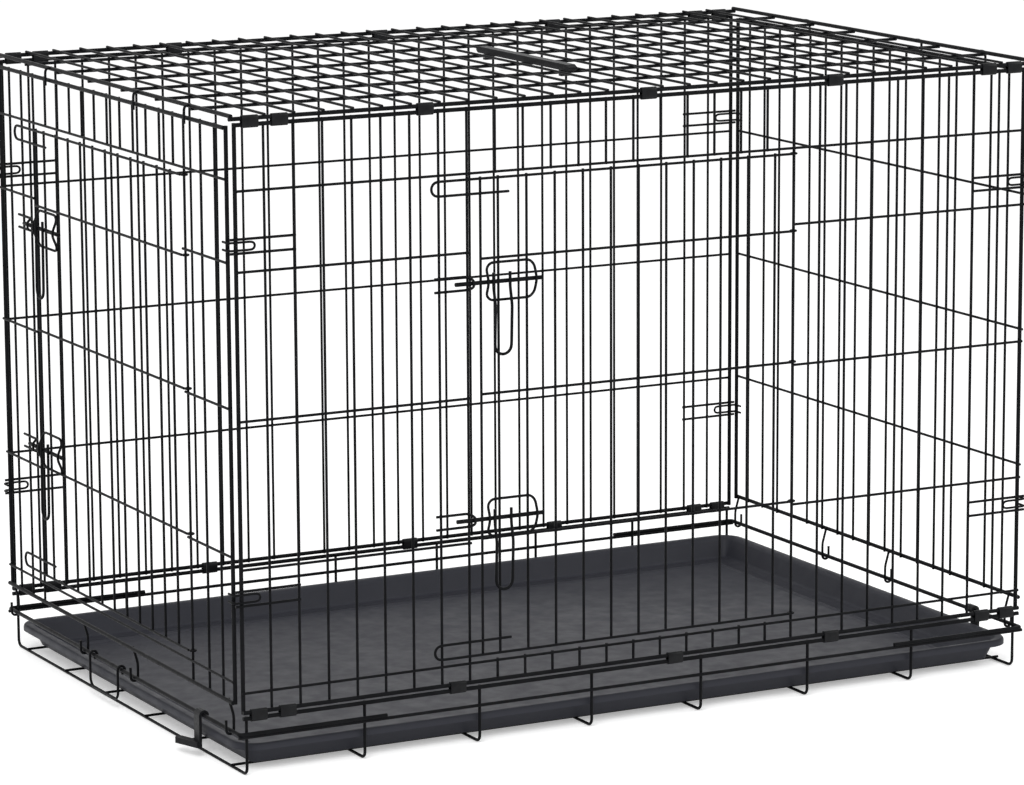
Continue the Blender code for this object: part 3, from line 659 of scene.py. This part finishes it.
def base_frame():
    """Rods along both sides, end rails with long arms, eight loops under the tray and six floor wires."""
    arm_y = FRONT_Y + LOOP_R + ROD_R - WELD
    wires = []
    for side in (-1, 1):
        wires.append(lengthwise(side * (FRONT_Y + ROD_LAP), RAIL_Z, CORNER_X + END_STUB, ROD_R))
        wires.append(lengthwise(side * (FRONT_Y + LOOP_R + MID_R - WELD), MID_Z, END_X + END_STUB, MID_R))
        arm_x, rail_x = side * END_LEG_X, side * END_X
        corners = ((arm_x, -arm_y), (rail_x, -arm_y), (rail_x, arm_y), (arm_x, arm_y))
        wires.append(([Vector((*corner, END_RAIL_Z)) for corner in corners], ROD_R, False))
    for k in range(FLOOR_WIRES):
        y = FLOOR_WIRE_Y * (2 * k / (FLOOR_WIRES - 1) - 1)
        wires.append(lengthwise(y, FLOOR_WIRE_Z, FLOOR_WIRE_X, WIRE_R))
    low = LOOP_R + LOOP_BEND
    run = FRONT_Y - LOOP_BEND
    for k in range(LOOP_COUNT):
        x = LOOP_X * (2 * k / (LOOP_COUNT - 1) - 1)
        points = [Vector((x, -FRONT_Y, RAIL_Z + END_STUB))]
        points += arc(Vector((x, -run, low)), -Y, -Z, LOOP_BEND, 0, 90, LOOP_STEPS)
        points += arc(Vector((x, run, low)), -Z, Y, LOOP_BEND, 0, 90, LOOP_STEPS)
        points.append(Vector((x, FRONT_Y, RAIL_Z + END_STUB)))
        wires.append((points, LOOP_R, False))
    wires_piece("base_frame", wires, "cage")


def tray_bail():
    """A wire bail that hangs by two eyes from the left end rail, across the tray's end."""
    out = PIVOT_HOOK_R
    high_y, low_y = BAIL_YS
    foot = BAIL_FOOT_Z + WIRE_R
    bow = ((high_y, foot + BAIL_BEND), (high_y - BAIL_BEND, foot), (low_y + BAIL_BEND, foot),
           (low_y, foot + BAIL_BEND))
    points = arc(LEFT.at(high_y, END_RAIL_Z), LEFT.n, Z, out, 270, 0, BAIL_STEPS)
    points += [LEFT.at(y, z, out) for y, z in bow]
    points += arc(LEFT.at(low_y, END_RAIL_Z), LEFT.n, Z, out, 0, 270, BAIL_STEPS)
    wires_piece("tray_bail", [(points, WIRE_R, False)], "bail")


def sleeve(node, slot, y, z):
    """A strip of steel folded into a flat-sided sleeve round two rods."""
    gap = (TOP_Z - ROD_LAP - LONG_TOP_Z) / 2
    curve = bpy.data.curves.new(node + "_sleeve", "CURVE")
    curve.dimensions = "2D"
    curve.fill_mode = "BOTH"
    curve.extrude = CLIP_LENGTH / 2 - CLIP_EDGE
    curve.bevel_depth = CLIP_EDGE
    curve.bevel_resolution = 1
    for radius in (ROD_R + FIT + CLIP_WALL - CLIP_EDGE, ROD_R + FIT + CLIP_EDGE):
        points = []
        for end in (1, -1):
            points += arc(Vector((0, end * gap, 0)), X * end, Y * end, radius, 0, 180, CLIP_STEPS)
        spline = curve.splines.new("POLY")
        spline.points.add(len(points) - 1)
        for place, point in zip(spline.points, points):
            place.co = (*point, 1)
        spline.use_cyclic_u = True
    turn = Matrix(((0, 0, 1, column(slot)), (1, 0, 0, y), (0, 1, 0, z), (0, 0, 0, 1)))
    piece(node + "_sleeve", mesh_of(curve, turn), CLIP_LOOK, "cage", "clip_steel", node)


def sleeves():
    y = FRONT_Y + ROD_LAP
    upper = (LONG_TOP_Z + TOP_Z - ROD_LAP) / 2
    lower = (LONG_BOTTOM_Z + RAIL_Z) / 2
    for side, place in ((-1, "front"), (1, "back")):
        for number, slot in enumerate(TOP_CLIP_SLOTS, 1):
            sleeve(f"{place}_top_clip_{number}", slot, side * y, upper)
        for number, slot in enumerate(BOTTOM_CLIP_SLOTS, 1):
            sleeve(f"{place}_bottom_clip_{number}", slot, side * y, lower)


def ring(half_x, half_y, corner, z):
    """The corners of a rounded rectangle at one height, in order."""
    points = []
    for quarter, (sx, sy) in enumerate(((1, 1), (-1, 1), (-1, -1), (1, -1))):
        centre = Vector((sx * (half_x - corner), sy * (half_y - corner), z))
        points += arc(centre, X, Y, corner, 90 * quarter, 90 * quarter + 90, CORNER_STEPS)
    return points


def tray():
    """The pan: sloped walls, a rolled lip and a floor with a raised border line."""
    low = FLOOR_WIRE_Z + WIRE_R + TRAY_LIFT
    high = low + TRAY_HEIGHT
    floor = low + TRAY_WALL
    wall_x, wall_y, neck = TRAY_X - TRAY_LIP, TRAY_Y - TRAY_LIP, TRAY_CORNER - TRAY_LIP
    inner_x, inner_y, inner_neck = wall_x - TRAY_WALL, wall_y - TRAY_WALL, neck - TRAY_WALL

    def inset(shrink, z):
        back = TRAY_SLOPE + shrink
        return ring(wall_x - back, wall_y - back, max(neck - back, TRAY_TIGHTEST), z)

    sections = [inset(shrink, low + rise) for shrink, rise in FOOT_CURVE]
    sections += [ring(wall_x + out, wall_y + out, neck + out, high - TRAY_WALL - drop)
                 for out, drop in OUTER_NECK]
    sections += [ring(TRAY_X - back, TRAY_Y - back, TRAY_CORNER - back, high + rise)
                 for back, rise in RIM_CURVE]
    sections += [ring(inner_x + out, inner_y + out, inner_neck, high - drop) for out, drop in INNER_NECK]
    sections += [inset(TRAY_WALL + shrink, floor + rise) for shrink, rise in FLOOR_CURVE]
    sections += [inset(BORDER_IN + shrink, floor + rise) for shrink, rise in BORDER_CURVE]
    made = bmesh.new()
    loops = [[made.verts.new(point) for point in section] for section in sections]
    for lower, upper in zip(loops, loops[1:]):
        for k in range(len(lower)):
            after = (k + 1) % len(lower)
            made.faces.new((lower[k], lower[after], upper[after], upper[k]))
    made.faces.new(reversed(loops[0]))
    made.faces.new(loops[-1])
    mesh = finished(bpy.data.meshes.new("tray_pan_skin"), made)
    piece("tray_pan_skin", mesh, TRAY_LOOK, "tray_pan", "tray_plastic", "tray")


def dress(node, look):
    """Gives a solid of the frame a finer material."""
    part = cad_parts[node]
    if not part.material_slots:
        part.data.materials.append(look)
    for slot in part.material_slots:
        slot.material = look


def shown_or_mirrored(nodes, links):
    """1 for camera rays and glossy reflections, and 0 for every other ray."""
    rays = nodes.new("ShaderNodeLightPath")
    either = nodes.new("ShaderNodeMath")
    either.operation = "MAXIMUM"
    links.new(rays.outputs["Is Camera Ray"], either.inputs[0])
    links.new(rays.outputs["Is Glossy Ray"], either.inputs[1])
    return either.outputs["Value"]


def white_paper():
    """Matte white floor that looks lit a little more to the camera and in reflections."""
    paper = bpy.data.materials.new("white_paper")
    paper.use_nodes = True
    nodes, links = paper.node_tree.nodes, paper.node_tree.links
    matte = nodes["Principled BSDF"]
    matte.inputs["Base Color"].default_value = (PAPER_WHITE, PAPER_WHITE, PAPER_WHITE, 1)
    matte.inputs["Roughness"].default_value = PAPER_ROUGHNESS
    glow = nodes.new("ShaderNodeEmission")
    glow.inputs["Strength"].default_value = PAPER_GLOW
    both = nodes.new("ShaderNodeAddShader")
    links.new(matte.outputs["BSDF"], both.inputs[0])
    links.new(glow.outputs["Emission"], both.inputs[1])
    choice = nodes.new("ShaderNodeMixShader")
    links.new(shown_or_mirrored(nodes, links), choice.inputs["Fac"])
    links.new(matte.outputs["BSDF"], choice.inputs[1])
    links.new(both.outputs["Shader"], choice.inputs[2])
    links.new(choice.outputs["Shader"], nodes["Material Output"].inputs["Surface"])
    return paper


def studio():
    """White floor, white surroundings and two soft lamps."""
    mesh = bpy.data.meshes.new("floor")
    made = bmesh.new()
    bmesh.ops.create_grid(made, x_segments=1, y_segments=1, size=FLOOR_SIZE)
    made.to_mesh(mesh)
    made.free()
    floor = bpy.data.objects.new("floor", mesh)
    floor.location = (0, 0, -FLOOR_DROP)
    bpy.context.scene.collection.objects.link(floor)
    mesh.materials.append(white_paper())

    world = bpy.data.worlds.new("studio")
    bpy.context.scene.world = world
    world.use_nodes = True
    nodes, links = world.node_tree.nodes, world.node_tree.links
    backdrop = nodes["Background"]
    backdrop.inputs["Color"].default_value = (1, 1, 1, 1)
    level = nodes.new("ShaderNodeMapRange")
    level.inputs["To Min"].default_value = WORLD_LIGHT
    level.inputs["To Max"].default_value = WORLD_SHOWN
    links.new(shown_or_mirrored(nodes, links), level.inputs["Value"])
    links.new(level.outputs["Result"], backdrop.inputs["Strength"])

    for name, place, size, power in LAMPS:
        data = bpy.data.lights.new(name, "AREA")
        data.shape = "DISK"
        data.size = size
        data.energy = power
        lamp = bpy.data.objects.new(name, data)
        lamp.location = place
        lamp.rotation_euler = (LAMP_AIM - Vector(place)).to_track_quat("-Z", "Y").to_euler()
        bpy.context.scene.collection.objects.link(lamp)


def camera():
    """The photograph's view: from the front left, a long way off, looking slightly down."""
    data = bpy.data.cameras.new("camera")
    data.sensor_width = CAMERA_SENSOR
    data.lens = CAMERA_LENS
    data.clip_end = CAMERA_REACH
    made = bpy.data.objects.new("camera", data)
    turn = Matrix.Rotation(CAMERA_HEADING, 4, "Z")
    turn = turn @ Matrix.Rotation(CAMERA_TILT, 4, "X") @ Matrix.Rotation(CAMERA_ROLL, 4, "Z")
    made.matrix_world = Matrix.Translation(CAMERA_PLACE) @ turn
    bpy.context.scene.collection.objects.link(made)
    bpy.context.scene.camera = made


def build():
    camera()
    base_frame()
    long_panel("front_panel", FRONT, FRONT_LEVELS, True)
    long_panel("back_panel", BACK, BACK_LEVELS, False)
    end_panel("left_end_panel", LEFT, LEFT_LEVELS, True, "left_end")
    end_panel("right_end_panel", RIGHT, RIGHT_LEVELS, False, "right_end")
    top_panel()
    sleeves()
    door_panel("front_door", FRONT, FRONT_DOOR, FRONT_BOLT_ZS, "front_door_leaf")
    door_panel("left_door", LEFT, LEFT_DOOR, LEFT_BOLT_ZS, "left_door_leaf")
    for level, z in zip(("upper", "lower"), FRONT_BOLT_ZS):
        bolt(f"front_{level}_bolt", FRONT, FRONT_DOOR, z, f"front_{level}_slider")
    for level, z in zip(("upper", "lower"), LEFT_BOLT_ZS):
        bolt(f"left_{level}_bolt", LEFT, LEFT_DOOR, z, f"left_{level}_slider")
    tray()
    tray_bail()
    for node in ("left_tray_stop", "right_tray_stop", "carry_handle"):
        dress(node, STOP_LOOK)
    studio()


build()
bpy.context.scene.view_settings.view_transform = "Standard"
